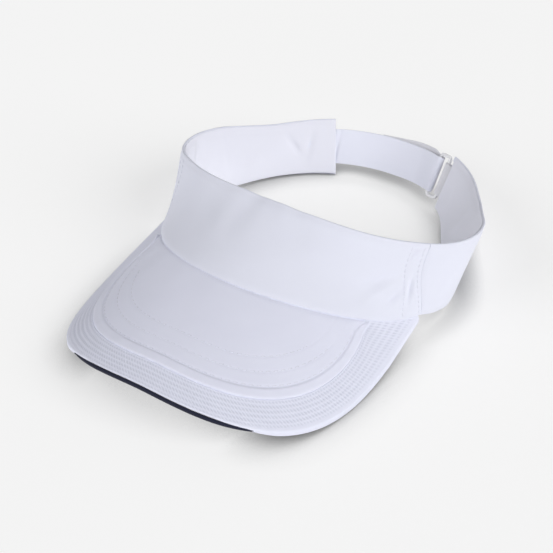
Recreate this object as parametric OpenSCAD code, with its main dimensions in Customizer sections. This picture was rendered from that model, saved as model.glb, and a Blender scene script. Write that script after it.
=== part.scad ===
// Sun visor: an open-crown headband with a curved bill, closed behind the head by a
// narrow strap that passes through a plastic ring and folds back on itself.
// Front is -Y, the wearer's left is +X, +Z is up, and all sizes are millimetres.
// Angles round the band start at 0 in front, grow towards +X and reach 180 behind.

/* [Head opening, bottom edge] */
// Half width of the band at its bottom edge
band_half_w = 92; // [86:1:98]
// From the opening's centre forward to the bill seam
band_front = 89.5; // [84:0.5:96]
// From the opening's centre back to the closing strap
band_rear = 96; // [90:1:102]
// Where the opening's centre lies behind the middle of the whole visor
opening_y = 28.7; // [20:0.1:40]

/* [Rim, the band's top edge] */
// Half width of the rim before it is pulled oval
rim_half_w = 100.5; // [96:0.5:105]
// Where the rim's centre lies behind the opening's centre
rim_back = 39.4; // [32:0.2:44]
// Rim's forward reach from its own centre
rim_front = 81.8; // [76:0.2:86]
// Rim's backward reach from its own centre
rim_rear = 66.5; // [60:0.5:72]
// How far the rim is drawn out front to back, as a share of its radius
rim_oval = 0.066; // [0:0.002:0.08]
// How far the rim narrows towards the back, as a share of its radius
rim_egg = 0.09; // [0:0.005:0.1]
// Height of the rim at the front
rim_front_z = 69.3; // [62:0.1:76]
// Height of the rim at the sides
rim_side_z = 43.2; // [38:0.1:50]
// Height of the rim at the back
rim_rear_z = 31.6; // [26:0.1:36]

/* [Bill] */
// Half width of the bill at its widest
bill_half_w = 89.8; // [84:0.2:94]
// From the bill's widest place forward to its front edge
bill_reach = 110.4; // [100:0.2:116]
// From the opening's centre forward to the bill's widest place
bill_wide_y = 61.7; // [56:0.1:66]
// Roundness of the outline: 2 is an ellipse, larger is squarer
bill_square = 2.68; // [2.3:0.02:3]
// Height of the top surface at the middle of the front edge
bill_front_z = 30.9; // [26:0.1:36]
// Rise of the bill towards the head, per millimetre
bill_slope = 0.154; // [0.1:0.002:0.2]
// How fast the bill curves down to its sides
bill_crown = 0.0037; // [0.003:0.0001:0.0038]
// From the outline in to the raised ridge
ridge_inset = 16.7; // [14:0.1:20]
// Width of the raised ridge
ridge_w = 6.5; // [4:0.1:8]
// Height of the raised ridge over the bill
ridge_h = 0.9; // [0.4:0.1:1.2]
// From the outline in to the first row of stitches
row_1_inset = 23.9; // [23.4:0.1:25]
// From the outline in to the second row of stitches
row_2_inset = 32; // [30:0.1:34]
// From the outline in to the third row of stitches
row_3_inset = 41; // [38:0.1:44]

/* [Closure] */
// Width of the closing strap
strap_w = 23; // [20:0.5:24]
// Length of the strap's folded-back tail
tail_l = 44; // [36:1:50]
// Distance between the ring's two long bars
ring_gap = 8.5; // [8:0.1:10]
// Radius of the ring's bars
bar_r = 1.2; // [1:0.05:1.3]

/* [Cloth] */
// Thickness of the outer cloth
shell_t = 0.7; // [0.5:0.05:0.8]
// Thickness of the side linings
lining_t = 1; // [0.8:0.1:1.4]
// Thickness of the padded sweatband behind the front panel
sweatband_t = 2.4; // [1.5:0.1:3]
// Thickness of the plastic bill board
board_t = 1.3; // [1:0.1:1.6]

/* [Hidden] */

ply_gap = 0.1;           // space left between two plies of cloth
seam_a = 73.6;           // angle of the side seams, where the bill ends too
seam_gap_a = 0.06;       // half the slit between two panels at a seam, degrees
lean_1 = -15;            // how the rim's angles run behind the bottom edge's
lean_2 = -12;
right_end_a = -156;      // end of the wearer's right panel, at its foot
left_end_a = 155.6;      // end of the wearer's left panel
keeper_a = 157.5;        // angle of the ring's keeper bar
tuck = 14;               // how far the left panel's foot is tucked in
tuck_from = 88;
tuck_span = 72;
foot_lift = 3;           // how far that panel's end stands off the table
drop_power = 5.4;        // how fast the bottom edge falls behind the bill
panel_end_a = 51;        // where the bill's centre panel runs out at the seam
side_taper = 0.044;      // how fast the bill narrows behind its widest place
crown_steepen = 0.32;    // extra curve near the bill's sides
white = [0.90, 0.90, 0.94];
lining_white = [0.86, 0.86, 0.91];
thread_white = [0.82, 0.82, 0.88];
navy = [0.05, 0.06, 0.13];
grey = [0.72, 0.71, 0.70];

// ---- Curves that everything hangs on ----

function wrap_angle(a) = a > 180 ? a - 360 : a;

// The bottom edge in plan. The left panel's foot is tucked in a little.
function tuck_at(a) =
    let (share = min(1, max(0, (wrap_angle(a) - tuck_from) / tuck_span)))
    tuck * pow(sin(180 * share), 2);
function ring_plan(a) = [band_half_w * sin(a) - tuck_at(a),
                         opening_y - (cos(a) > 0 ? band_front : band_rear) * cos(a)];

// The bill's top surface, and how much thicker a ply is when measured straight down.
function bill_z(p) =
    let (front_y = opening_y - bill_wide_y - bill_reach)
    bill_front_z + bill_slope * (p.y - front_y)
    - bill_crown * p.x * p.x * (1 + crown_steepen * pow(p.x / 90, 2));
function bill_steepness(p) =
    let (side = 2 * bill_crown * p.x * (1 + 2 * crown_steepen * pow(p.x / 90, 2)))
    sqrt(1 + side * side + bill_slope * bill_slope);

// The bottom edge in space: under the bill's seam in front, then down to the table.
function foot_lift_at(a) =
    let (w = wrap_angle(a), up = min(1, max(0, (w - 120) / 37)), down = min(1, (180 - w) / 23))
    w < 0 ? 0 : foot_lift * up * up * down;
function bottom_edge(a) =
    let (side = abs(wrap_angle(a)), p = ring_plan(a), seam_z = bill_z(ring_plan(seam_a)),
         behind = (side - seam_a) / (180 - seam_a))
    side <= seam_a ? [p.x, p.y, bill_z(p)]
                   : [p.x, p.y, seam_z * pow(1 - behind, drop_power) + foot_lift_at(a)];

// The rim: an egg-shaped loop, high in front and low behind.
function rim_edge(a) =
    let (f = a + lean_1 * sin(a) + lean_2 * sin(2 * a),
         r = 1 + rim_oval * cos(2 * f) - rim_egg * cos(3 * f),
         mean_z = (rim_front_z + rim_rear_z + 2 * rim_side_z) / 4,
         tilt_z = (rim_front_z - rim_rear_z) / 2)
    [rim_half_w * sin(f) * r,
     opening_y + rim_back - (cos(f) > 0 ? rim_front : rim_rear) * cos(f) * r,
     mean_z + tilt_z * cos(f) + (mean_z - rim_side_z) * cos(2 * f)];

// A point of the band: h runs from 0 at the bottom edge to 1 at the rim, and depth is
// measured from the outer face towards the head.
function unit(v) = v / norm(v);
function band_face(a, h) = bottom_edge(a) * (1 - h) + rim_edge(a) * h;
function band_inward(a) = unit(cross(rim_edge(a) - bottom_edge(a),
                                     band_face(a + 1, 0.5) - band_face(a - 1, 0.5)));
function band_point(a, h, depth) = band_face(a, h) + band_inward(a) * depth;

// The same, with the height counted in millimetres up from the strap's middle line.
strap_mid_h = 0.508;
function strap_up(a) = unit(rim_edge(a) - bottom_edge(a));
function strap_point(a, up, depth) = band_point(a, strap_mid_h, depth) + strap_up(a) * up;

// ---- Solids from rows of points ----

// Joins equal sections, each a closed ring of points, into one solid with flat ends.
// The first half of a section is one face, and the second half runs back along the face
// opposite. Both are split along the same diagonals, so that neighbouring plies nest.
function total(rows) = [for (row = rows) 1] * rows;
function facing(ring) = total([for (j = [1 : len(ring) - 2])
                               cross(ring[j] - ring[0], ring[j + 1] - ring[0])]);
function reversed(ring) = [for (j = [len(ring) - 1 : -1 : 0]) ring[j]];
module loft(sections) {
    n = len(sections);
    m = len(sections[0]);
    ahead = facing(sections[0]) * (total(sections[1]) - total(sections[0])) > 0;
    rings = ahead ? sections : [for (s = sections) reversed(s)];
    sides = [for (i = [0 : n - 2], j = [0 : m - 1])
             let (k = (j + 1) % m, p = i * m, q = p + m)
             each (j < m / 2 ? [[p + j, q + k, p + k], [p + j, q + j, q + k]]
                             : [[p + j, q + j, p + k], [p + k, q + j, q + k]])];
    end = [for (j = [0 : m / 2 - 2]) each [[j, j + 1, m - 2 - j], [j, m - 2 - j, m - 1 - j]]];
    far_end = [for (t = end) [t[0], t[2], t[1]] + (n - 1) * m * [1, 1, 1]];
    polyhedron([for (s = rings) each s], concat(sides, end, far_end));
}

// Angles from one to another, on a pitch that all plies of the band share.
pitch_a = 3;             // degrees
band_rows = 4;           // steps from a ply's foot to its top
function band_angles(from, to) =
    let (low = min(from, to), high = max(from, to), first = floor(low / pitch_a) + 1,
         last = ceil(high / pitch_a) - 1)
    concat([low], [for (i = [first : last]) i * pitch_a], [high]);

// A ply of the band between two angles, two heights and two depths. end_skew is how much
// further round the far end reaches at the foot than at the rim.
module band_ply(a_from, a_to, h_low, h_high, depth_out, depth_in, end_skew = 0) {
    heights = [for (j = [0 : band_rows]) h_low + (h_high - h_low) * j / band_rows];
    function skewed(a, h) = a + end_skew * sign(a_to) * (1 - h) * (a - a_from) / (a_to - a_from);
    loft([for (a = band_angles(a_from, a_to))
          concat([for (h = heights) band_point(skewed(a, h), h, depth_out)],
                 [for (h = reversed(heights)) band_point(skewed(a, h), h, depth_in)])]);
}

// One stitch as a short bar of thread between two points, raised along up.
thread_w = 0.5;
thread_h = 0.3;
module stitch(from, to, up) {
    across = unit(cross(to - from, up)) * thread_w / 2;
    loft([for (p = [from, to]) [p - across, p + across, p + across + up * thread_h,
                                p - across + up * thread_h]]);
}

// ---- Band ----

module front_panel() {
    color(white)
    band_ply(-seam_a + seam_gap_a, seam_a - seam_gap_a, 0, 1, 0, shell_t);
}

// The stiff backing stops short of the seams, the foot and the rim.
backing_depth = shell_t + ply_gap;
backing_t = 0.7;
backing_low_h = 0.03;
backing_high_h = 0.96;
backing_a = seam_a - 3;
module front_backing() {
    color(lining_white)
    band_ply(-backing_a, backing_a, backing_low_h, backing_high_h, backing_depth,
             backing_depth + backing_t);
}

// The front panel's top edge, turned in over the backing.
hem_depth = backing_depth + backing_t + ply_gap;
hem_low_h = 0.84;
hem_high_h = 0.99;
hem_a = seam_a - 1;
module front_top_hem() {
    color(white)
    band_ply(-hem_a, hem_a, hem_low_h, hem_high_h, hem_depth, hem_depth + shell_t);
}

sweatband_low_h = 0.1;
sweatband_high_h = 0.8;
sweatband_a = seam_a - 0.5;
module front_sweatband() {
    color(lining_white)
    band_ply(-sweatband_a, sweatband_a, sweatband_low_h, sweatband_high_h, hem_depth,
             hem_depth + sweatband_t);
}

// Tape over the seam where the bill meets the front panel, under the sweatband.
tape_low_h = 0.01;
tape_high_h = 0.08;
tape_t = 0.6;
tape_a = seam_a - 2;
module bill_seam_tape() {
    color(navy)
    band_ply(-tape_a, tape_a, tape_low_h, tape_high_h, hem_depth, hem_depth + tape_t);
}

strap_t = 0.8;           // thickness of the strap, which lies between panel and lining
end_skew = 5.3;          // how much further round the right panel's foot reaches than its top
lining_depth = shell_t + strap_t + 2 * ply_gap;
lining_short_a = 1.4;    // where the left lining stops short of its panel's end
lining_from_a = seam_a + 0.5;
lining_low_h = 0.02;
lining_high_h = 0.95;
module left_side_panel() {
    color(white)
    band_ply(seam_a + seam_gap_a, left_end_a, 0, 1, 0, shell_t);
}
module right_side_panel() {
    color(white)
    band_ply(-seam_a - seam_gap_a, right_end_a + end_skew, 0, 1, 0, shell_t, end_skew);
}
module left_lining() {
    color(lining_white)
    band_ply(lining_from_a, left_end_a - lining_short_a, lining_low_h, lining_high_h,
             lining_depth, lining_depth + lining_t);
}
module right_lining() {
    color(lining_white)
    band_ply(-lining_from_a, right_end_a + end_skew, lining_low_h, lining_high_h,
             lining_depth, lining_depth + lining_t, end_skew);
}

// Two rows of topstitching in front of a side seam. Each is given by how many degrees it
// lies in front of the seam at the foot and at the rim.
seam_rows = [[1.3, 1.3], [9, 4.5]];
seam_stitches = 13;      // stitches in each row
seam_row_low = 0.04;     // where the rows start and stop, as heights on the band
seam_row_high = 0.96;
stitch_share = 0.62;     // thread over the cloth, as a share of the stitch pitch
module seam_stitch_rows(side) {
    pitch = (seam_row_high - seam_row_low) / seam_stitches;
    for (row = seam_rows, i = [0 : seam_stitches - 1]) {
        h = seam_row_low + pitch * i;
        far_h = h + pitch * stitch_share;
        a = side * (seam_a - row[0] + (row[0] - row[1]) * h);
        far_a = side * (seam_a - row[0] + (row[0] - row[1]) * far_h);
        stitch(band_point(a, h, -2 * ply_gap), band_point(far_a, far_h, -2 * ply_gap),
               -band_inward(a));
    }
}
module left_seam_stitches() { color(thread_white) seam_stitch_rows(1); }
module right_seam_stitches() { color(thread_white) seam_stitch_rows(-1); }

// The row that holds the top of the sweatband, seen from inside the band.
sweatband_count = 46;
sweatband_row_h = sweatband_high_h - 0.05;
module sweatband_stitches() {
    color(thread_white)
    for (i = [0 : sweatband_count - 1]) {
        step = 2 * backing_a / sweatband_count;
        a = -backing_a + i * step;
        h = sweatband_row_h;
        depth = hem_depth + sweatband_t + 3 * ply_gap;
        stitch(band_point(a, h, depth), band_point(a + step * stitch_share, h, depth),
               band_inward(a));
    }
}

// ---- Bill ----

// The outline: a superellipse to the widest place, then sides that close in gently on
// the band. wide_a is the band's angle level with the widest place.
wide_a = acos(bill_wide_y / band_front);
function power(v, e) = sign(v) * pow(abs(v), e);
function bill_outline(a) =
    let (t = 90 * a / wide_a, p = ring_plan(a))
    abs(a) <= wide_a
    ? [bill_half_w * power(sin(t), 2 / bill_square),
       opening_y - bill_wide_y - bill_reach * power(cos(t), 2 / bill_square)]
    : [sign(a) * (bill_half_w - side_taper * (p.y - opening_y + bill_wide_y)), p.y];

// A point of the bill on the line from the band at angle a out to the outline, so far in
// from the outline and so deep under the top surface.
function bill_width(a) = norm(bill_outline(a) - ring_plan(a));
function bill_point(a, inset, depth) =
    let (out = bill_outline(a), share = min(1, inset / bill_width(a)),
         p = out + (ring_plan(a) - out) * share)
    [p.x, p.y, bill_z(p) - depth * bill_steepness(p)];

// A ply of the bill. For each angle, insets gives the distances in from the outline.
// Heights over the surface come from lift, which is 0 on a flat ply.
module bill_ply(angles, insets, lifts, depth_top, depth_bottom) {
    m = len(lifts);
    loft([for (a = angles) concat(
          [for (j = [0 : m - 1]) bill_point(a, insets(a)[j], depth_top - lifts[j])],
          [for (j = [m - 1 : -1 : 0]) bill_point(a, insets(a)[j], depth_bottom)])]);
}

// Evenly spaced angles from one side to the other, for a ply.
function ply_angles(end_a, steps) = [for (i = [0 : steps]) end_a * (2 * i / steps - 1)];
bill_steps = 52;
bill_end_a = seam_a - 4; // where the plies stop short of the side seams

// Insets of a flat ply, from one down to the band, in even steps.
bill_rows = 6;
function flat_insets(a, from) =
    let (to = bill_width(a) - bill_gap)
    [for (j = [0 : bill_rows]) from + (to - from) * j / bill_rows];
flat_lifts = [for (j = [0 : bill_rows]) 0];

bill_gap = 0.3;          // slit between the bill's plies and the band's outer face
edge_w = 1.9;            // how far the dark edge reaches in from the outline
edge_show = 0.7;         // how far it stands out beyond the white cloth
board_depth = shell_t + ply_gap;
under_depth = board_depth + board_t + ply_gap;
under_t = 0.6;
bill_depth = under_depth + under_t;
edge_depth = bill_depth + 0.4;

// The plastic board that gives the bill its curve.
module bill_board() {
    color("gainsboro")
    bill_ply(ply_angles(bill_end_a, bill_steps), function (a) flat_insets(a, edge_w + ply_gap),
             flat_lifts, board_depth, board_depth + board_t);
}

// The smooth centre panel. Its edge is turned under and stitched down, so it stands up
// as a soft ridge.
ridge_shape = [0, 0.75, 1, 0.75, 0];
ridge_steps = len(ridge_shape) - 1;
function panel_insets(a) =
    let (room = bill_width(a) - bill_gap - ridge_inset, ridge = min(ridge_w, room / 2))
    concat([for (j = [0 : ridge_steps]) ridge_inset + ridge * j / ridge_steps],
           [for (j = [1 : bill_rows]) ridge_inset + ridge + (room - ridge) * j / bill_rows]);
module bill_top_panel() {
    color(white)
    bill_ply(ply_angles(panel_end_a, bill_steps), function (a) panel_insets(a),
             concat(ridge_shape * ridge_h, [for (j = [1 : bill_rows]) 0]), 0, shell_t);
}

// The open mesh border between the ridge and the edge.
module bill_mesh_border() {
    color(white)
    bill_ply(ply_angles(bill_end_a, bill_steps),
             function (a) let (to = min(ridge_inset, bill_width(a)) - bill_gap)
                          [for (j = [0 : bill_rows]) edge_show + (to - edge_show) * j / bill_rows],
             flat_lifts, 0, shell_t);
}

// The dark lining under the bill.
module bill_under_panel() {
    color(navy)
    bill_ply(ply_angles(bill_end_a, bill_steps), function (a) flat_insets(a, edge_w + ply_gap),
             flat_lifts, under_depth, bill_depth);
}

// The dark edge under the white cloth, which closes the other plies round the outline.
module bill_edge_binding() {
    color(navy)
    bill_ply(ply_angles(bill_end_a, bill_steps), function (a) [0, edge_w], [0, 0],
             shell_t + ply_gap, edge_depth);
}

// A row of stitches that follows the outline, from seam to seam.
row_pitch = 4.2;
row_steps = 240;
module bill_stitch_row(inset, end_a) {
    angles = ply_angles(end_a, row_steps);
    points = [for (a = angles) bill_point(a, inset, -ply_gap)];
    steps = [for (i = [1 : row_steps]) norm(points[i] - points[i - 1])];
    run = [for (i = 0, s = 0; i < row_steps; s = s + steps[i], i = i + 1) s];
    angle_at = [for (i = [0 : row_steps - 1]) [run[i], angles[i]]];
    length = run[row_steps - 1];
    count = floor(length / row_pitch);
    color(thread_white)
    for (k = [0 : count - 1]) {
        p = bill_point(lookup(k * length / count, angle_at), inset, -ply_gap);
        q = bill_point(lookup((k + stitch_share) * length / count, angle_at), inset, -ply_gap);
        stitch(p, q, unit([2 * bill_crown * p.x, -bill_slope, 1]));
    }
}
row_1_end_a = 44;        // where each row runs out at the seam
row_2_end_a = 38;
row_3_end_a = 32;
module bill_stitch_row_1() { bill_stitch_row(row_1_inset, row_1_end_a); }
module bill_stitch_row_2() { bill_stitch_row(row_2_inset, row_2_end_a); }
module bill_stitch_row_3() { bill_stitch_row(row_3_inset, row_3_end_a); }

// ---- Closure ----

// Distances along the strap are millimetres from the keeper bar, growing towards the
// wearer's right. band_rate is how many of them one degree of the band is worth.
band_rate = norm(strap_point(keeper_a + 6, 0, 0) - strap_point(keeper_a, 0, 0)) / 6;
function strap_angle(s) = keeper_a + s / band_rate;
ring_depth = shell_t / 2;

// A smooth share from 0 to 1, for paths that leave one depth and settle to another.
function ease(t) = (1 - cos(180 * t)) / 2;

// A cloth ribbon along a path of [distance, depth] points.
module ribbon(path, t, low, high) {
    last = len(path) - 1;
    loft([for (i = [0 : last])
          let (d = unit(path[min(i + 1, last)] - path[max(i - 1, 0)]), n = [-d.y, d.x] * t / 2,
               p = path[i] - n, q = path[i] + n)
          [strap_point(strap_angle(p.x), low, p.y), strap_point(strap_angle(q.x), low, q.y),
           strap_point(strap_angle(q.x), high, q.y), strap_point(strap_angle(p.x), high, p.y)]]);
}
function arc_path(cx, cy, r, from, to, steps) =
    [for (i = [0 : steps]) let (b = from + (to - from) * i / steps) [cx + r * cos(b), cy + r * sin(b)]];

strap_depth = shell_t + ply_gap + strap_t / 2;
fold_r = 2.6;            // radius of the strap's fold round the ring's free bar
fold_end = 255;          // how far round the bar the strap goes before the tail begins
root_s = ring_gap + 0.6; // the line that the tail bends about
anchor_s = 103;          // far end of the strap, between the right panel and its lining
calm_s = ring_gap + 14;  // where the strap has settled to its own depth
strap_steps = 22;        // pieces along the strap's long run
settle_steps = 6;        // pieces where it settles to a new depth
fold_steps = 12;         // pieces round the free bar

// The strap runs from the right panel, inside the ring's free bar and round it.
module back_strap() {
    color(white)
    ribbon(concat([for (i = [0 : strap_steps])
                   [anchor_s + (calm_s - anchor_s) * i / strap_steps, strap_depth]],
                  [for (i = [1 : settle_steps - 1])
                   [calm_s + (ring_gap - calm_s) * i / settle_steps,
                    strap_depth + (ring_depth + fold_r - strap_depth) * ease(i / settle_steps)]],
                  arc_path(ring_gap, ring_depth, fold_r, 90, fold_end, fold_steps)),
           strap_t, -strap_w / 2, strap_w / 2);
}

// The tail folds back over the strap's outer face and peels open about its root.
loop_t = 1;
hook_t = 0.8;
tape_slit = 0.3;
tail_depth = strap_depth - strap_t / 2 - ply_gap - loop_t - tape_slit - hook_t - ply_gap - strap_t / 2;
root_depth = ring_depth - fold_r;
tail_rise = 1;           // how far the tail sits above the strap's middle line
tail_w = strap_w - 1;
tail_start = 0.3;        // gap between the strap's cut end and the tail's, beyond the root
tail_settle = 8;         // length in which the tail comes to lie along the strap
tail_steps = 12;
module strap_tail() {
    settled = tail_start + tail_settle;
    color(grey)
    ribbon(concat([for (i = [0 : settle_steps - 2]) let (t = i / (settle_steps - 1))
                   [root_s + tail_start + tail_settle * t,
                    root_depth + (tail_depth - root_depth) * ease(t)]],
                  [for (i = [0 : tail_steps])
                   [root_s + settled + (tail_l - settled) * i / tail_steps, tail_depth]]),
           strap_t, tail_rise - tail_w / 2, tail_rise + tail_w / 2);
}

tape_w = 19;
hook_from = ring_gap + 13;
hook_l = tail_l - 15;
hook_steps = 10;
loop_from = hook_from + 2;
loop_l = 46;
loop_steps = 14;
module loop_tape() {
    color(lining_white)
    ribbon([for (i = [0 : loop_steps]) [loop_from + loop_l * i / loop_steps,
                                        strap_depth - strap_t / 2 - ply_gap - loop_t / 2]],
           loop_t, -tape_w / 2, tape_w / 2);
}
module hook_tape() {
    color(lining_white)
    ribbon([for (i = [0 : hook_steps]) [hook_from + hook_l * i / hook_steps,
                                        tail_depth + strap_t / 2 + ply_gap + hook_t / 2]],
           hook_t, tail_rise - tape_w / 2, tail_rise + tape_w / 2);
}

// Two rows of stitches that hold the strap's far end.
anchor_rows = [94.5, 98.5];
bar_count = 6;           // stitches in a row across the strap or the keeper
bar_margin = 3;          // cloth left free of them, both edges together
anchor_shift = 0.6;      // centres the rows, which start at their stitches' lower ends
anchor_stitch = 2.1;     // length of a stitch
module strap_anchor_stitches() {
    color(thread_white)
    for (s = anchor_rows, i = [0 : bar_count - 1]) {
        a = strap_angle(s);
        up = (i / bar_count - 0.5) * (strap_w - bar_margin) + anchor_shift;
        stitch(strap_point(a, up, -ply_gap), strap_point(a, up + anchor_stitch, -ply_gap),
               -band_inward(a));
    }
}

// The ring: two long bars and two short ones with round corners. Its own frame has the
// keeper bar along Z and the free bar at +X.
ring_z = strap_up(keeper_a + 2);
ring_y = unit(cross(ring_z, strap_point(keeper_a + 5, 0, 0) - strap_point(keeper_a, 0, 0)));
ring_x = cross(ring_y, ring_z);
ring_turn = [atan2(ring_y.z, ring_z.z), -asin(ring_x.z), atan2(ring_x.y, ring_x.x)];
ring_inside = strap_w + 2.2;
ring_smooth = 32;        // sides of its round bars
ring_share = 0.8;        // how much of the strap's climb the ring follows
ring_rise = (strap_point(strap_angle(ring_gap), 0, 0) - strap_point(keeper_a, 0, 0)) * ring_z;
module ring_buckle() {
    half_l = ring_inside / 2 + bar_r;
    color("white")
    translate(strap_point(keeper_a, 0, ring_depth) + ring_z * ring_rise * ring_share)
    rotate(ring_turn) {
        for (x = [0, ring_gap])
            translate([x, 0, -half_l]) cylinder(h = 2 * half_l, r = bar_r, $fn = ring_smooth);
        for (z = [-half_l, half_l]) {
            translate([0, 0, z]) rotate([0, 90, 0])
                cylinder(h = ring_gap, r = bar_r, $fn = ring_smooth);
            for (x = [0, ring_gap]) translate([x, 0, z]) sphere(r = bar_r, $fn = ring_smooth);
        }
    }
}

// The keeper: a cloth tab round the keeper bar, with one leg outside the left panel and
// one between the panel and its lining.
keeper_t = 0.7;
keeper_w = 21;
keeper_slit = 0.4;       // between the bar and the cloth round it
keeper_r = bar_r + keeper_slit + keeper_t / 2;
outer_leg = 46;
inner_leg = 14;
outer_settle = 7;        // where each leg has settled to its own depth
inner_settle = 5.5;
keeper_steps = 4;        // pieces of the inner leg and of each settling run
keeper_fold_steps = 10;
outer_steps = 12;
module ring_keeper() {
    outer_depth = -ply_gap - keeper_t / 2;
    inner_depth = lining_depth - ply_gap - keeper_t / 2;
    color(grey)
    ribbon(concat([for (i = [0 : outer_steps])
                   [(outer_leg - outer_settle) * i / outer_steps - outer_leg, outer_depth]],
                  [for (i = [1 : keeper_steps - 1]) let (t = i / keeper_steps)
                   [outer_settle * (t - 1),
                    outer_depth + (ring_depth - keeper_r - outer_depth) * ease(t)]],
                  arc_path(0, ring_depth, keeper_r, -90, 90, keeper_fold_steps),
                  [for (i = [1 : keeper_steps - 1]) let (t = i / keeper_steps)
                   [-inner_settle * t,
                    ring_depth + keeper_r + (inner_depth - ring_depth - keeper_r) * ease(t)]],
                  [for (i = [0 : keeper_steps])
                   [(inner_settle - inner_leg) * i / keeper_steps - inner_settle, inner_depth]]),
           keeper_t, -keeper_w / 2, keeper_w / 2);
}
keeper_rows = [-10, -43];
keeper_shift = 0.5;
keeper_stitch = 1.9;
module keeper_stitches() {
    color(thread_white)
    for (s = keeper_rows, i = [0 : bar_count - 1]) {
        a = strap_angle(s);
        up = (i / bar_count - 0.5) * (keeper_w - bar_margin) + keeper_shift;
        depth = -2 * ply_gap - keeper_t;
        stitch(strap_point(a, up, depth), strap_point(a, up + keeper_stitch, depth),
               -band_inward(a));
    }
}

front_panel();
front_backing();
front_top_hem();
front_sweatband();
left_side_panel();
right_side_panel();
left_lining();
right_lining();
left_seam_stitches();
right_seam_stitches();
sweatband_stitches();
bill_seam_tape();
bill_board();
bill_top_panel();
bill_mesh_border();
bill_under_panel();
bill_edge_binding();
bill_stitch_row_1();
bill_stitch_row_2();
bill_stitch_row_3();
back_strap();
strap_tail();
loop_tape();
hook_tape();
strap_anchor_stitches();
ring_buckle();
ring_keeper();
keeper_stitches();
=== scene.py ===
"""Looks of the sun visor: detailed cloth, thread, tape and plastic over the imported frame.

Front is -Y, the wearer's left is +X and +Z is up. Sizes below are millimetres and degrees, the
same as the CAD model's, and become metres where a mesh is made.
"""
import math

import bpy
import numpy as np
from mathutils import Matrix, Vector


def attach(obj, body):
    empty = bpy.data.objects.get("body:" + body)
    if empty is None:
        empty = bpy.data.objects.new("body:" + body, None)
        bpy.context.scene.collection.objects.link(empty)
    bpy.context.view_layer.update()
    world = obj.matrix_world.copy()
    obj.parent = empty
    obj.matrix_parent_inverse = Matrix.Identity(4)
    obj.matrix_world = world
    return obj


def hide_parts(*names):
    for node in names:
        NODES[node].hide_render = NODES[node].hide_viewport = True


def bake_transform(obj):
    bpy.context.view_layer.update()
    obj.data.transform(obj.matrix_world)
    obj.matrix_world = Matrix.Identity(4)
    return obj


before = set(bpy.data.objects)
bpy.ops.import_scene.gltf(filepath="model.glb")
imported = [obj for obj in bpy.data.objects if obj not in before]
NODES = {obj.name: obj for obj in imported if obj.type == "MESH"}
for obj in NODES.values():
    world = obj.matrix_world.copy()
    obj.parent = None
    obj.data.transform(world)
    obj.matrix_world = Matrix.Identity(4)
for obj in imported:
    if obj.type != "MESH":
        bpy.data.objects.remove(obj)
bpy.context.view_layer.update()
MM = 0.001

# ---- Sizes shared with the CAD model ----

# The band's foot from above: half width, reach ahead and behind its middle, middle's place.
BAND_HALF_W, BAND_FRONT, BAND_REAR, OPENING_Y = 92.0, 89.5, 96.0, 28.7
# The rim: its size from above, its oval and egg shares, its heights, and a shift in angle.
RIM_HALF_W, RIM_BACK, RIM_FRONT, RIM_REAR = 100.5, 39.4, 81.8, 66.5
RIM_OVAL, RIM_EGG = 0.066, 0.09
RIM_FRONT_Z, RIM_SIDE_Z, RIM_REAR_Z = 69.3, 43.2, 31.6
LEAN_1, LEAN_2 = -15.0, -12.0
# The wearer's left rear tucks in. The foot falls to the floor behind the seams.
TUCK, TUCK_FROM, TUCK_SPAN = 14.0, 88.0, 72.0
FOOT_LIFT, DROP_POWER = 3.0, 5.4
# Angles round the band, from 0 at the front: the side seams and the side panels' ends.
SEAM_A = 73.6
RIGHT_END_A, LEFT_END_A, END_SKEW = -150.7, 155.6, 5.3
# The bill: its outline, its surface, its ridge, the gap at the band and its dark edge.
BILL_HALF_W, BILL_REACH, BILL_WIDE_Y, BILL_SQUARE = 89.8, 110.4, 61.7, 2.68
BILL_FRONT_Z, BILL_SLOPE, BILL_CROWN, CROWN_STEEPEN = 30.9, 0.154, 0.0037, 0.32
SIDE_TAPER, PANEL_END_A = 0.044, 51.0
RIDGE_INSET, RIDGE_W = 16.7, 6.5
BILL_GAP, EDGE_W = 0.3, 1.9
# Stitch rows on the bill, each with its inset and end angle, and the stitches' pitch.
ROWS = {"bill_stitch_row_1": (23.9, 44.0), "bill_stitch_row_2": (32.0, 38.0),
        "bill_stitch_row_3": (41.0, 32.0)}
ROW_PITCH, STITCH_SHARE = 4.2, 0.62
# Thicknesses of the plies and the gap between them.
SHELL_T, PLY_GAP, BACKING_T, LINING_T = 0.7, 0.1, 0.7, 1.0
SWEATBAND_T, TAPE_T, BOARD_T, UNDER_T = 2.4, 0.6, 1.3, 0.6
# Rows beside the side seams: degrees off the seam at foot and rim, count, lowest, highest.
SEAM_ROWS, SEAM_STITCHES, SEAM_LOW, SEAM_HIGH = ((1.3, 1.3), (9.0, 4.5)), 13, 0.04, 0.96
# The strap, the ring that it folds round, its tapes, and the keeper that holds the ring.
KEEPER_A, STRAP_MID_H, STRAP_W, STRAP_T = 157.5, 0.508, 23.0, 0.8
RING_GAP, BAR_R, FOLD_R, TAIL_L, TAIL_RISE = 8.5, 1.2, 2.6, 44.0, 1.0
ANCHOR_S, LOOP_T, HOOK_T, TAPE_SLIT, TAPE_W = 103.0, 1.0, 0.8, 0.3, 19.0
KEEPER_T, KEEPER_W, OUTER_LEG, INNER_LEG = 0.7, 21.0, 46.0, 14.0
# Depths of the plies inwards from the shell's outer face.
BACKING_DEPTH = SHELL_T + PLY_GAP
HEM_DEPTH = BACKING_DEPTH + BACKING_T + PLY_GAP
LINING_DEPTH = SHELL_T + STRAP_T + 2 * PLY_GAP
UNDER_DEPTH = SHELL_T + BOARD_T + 2 * PLY_GAP
STRAP_DEPTH = SHELL_T + PLY_GAP + STRAP_T / 2
RING_DEPTH = SHELL_T / 2
TAIL_DEPTH = (STRAP_DEPTH - STRAP_T / 2 - PLY_GAP - LOOP_T - TAPE_SLIT - HOOK_T - PLY_GAP
              - STRAP_T / 2)

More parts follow.
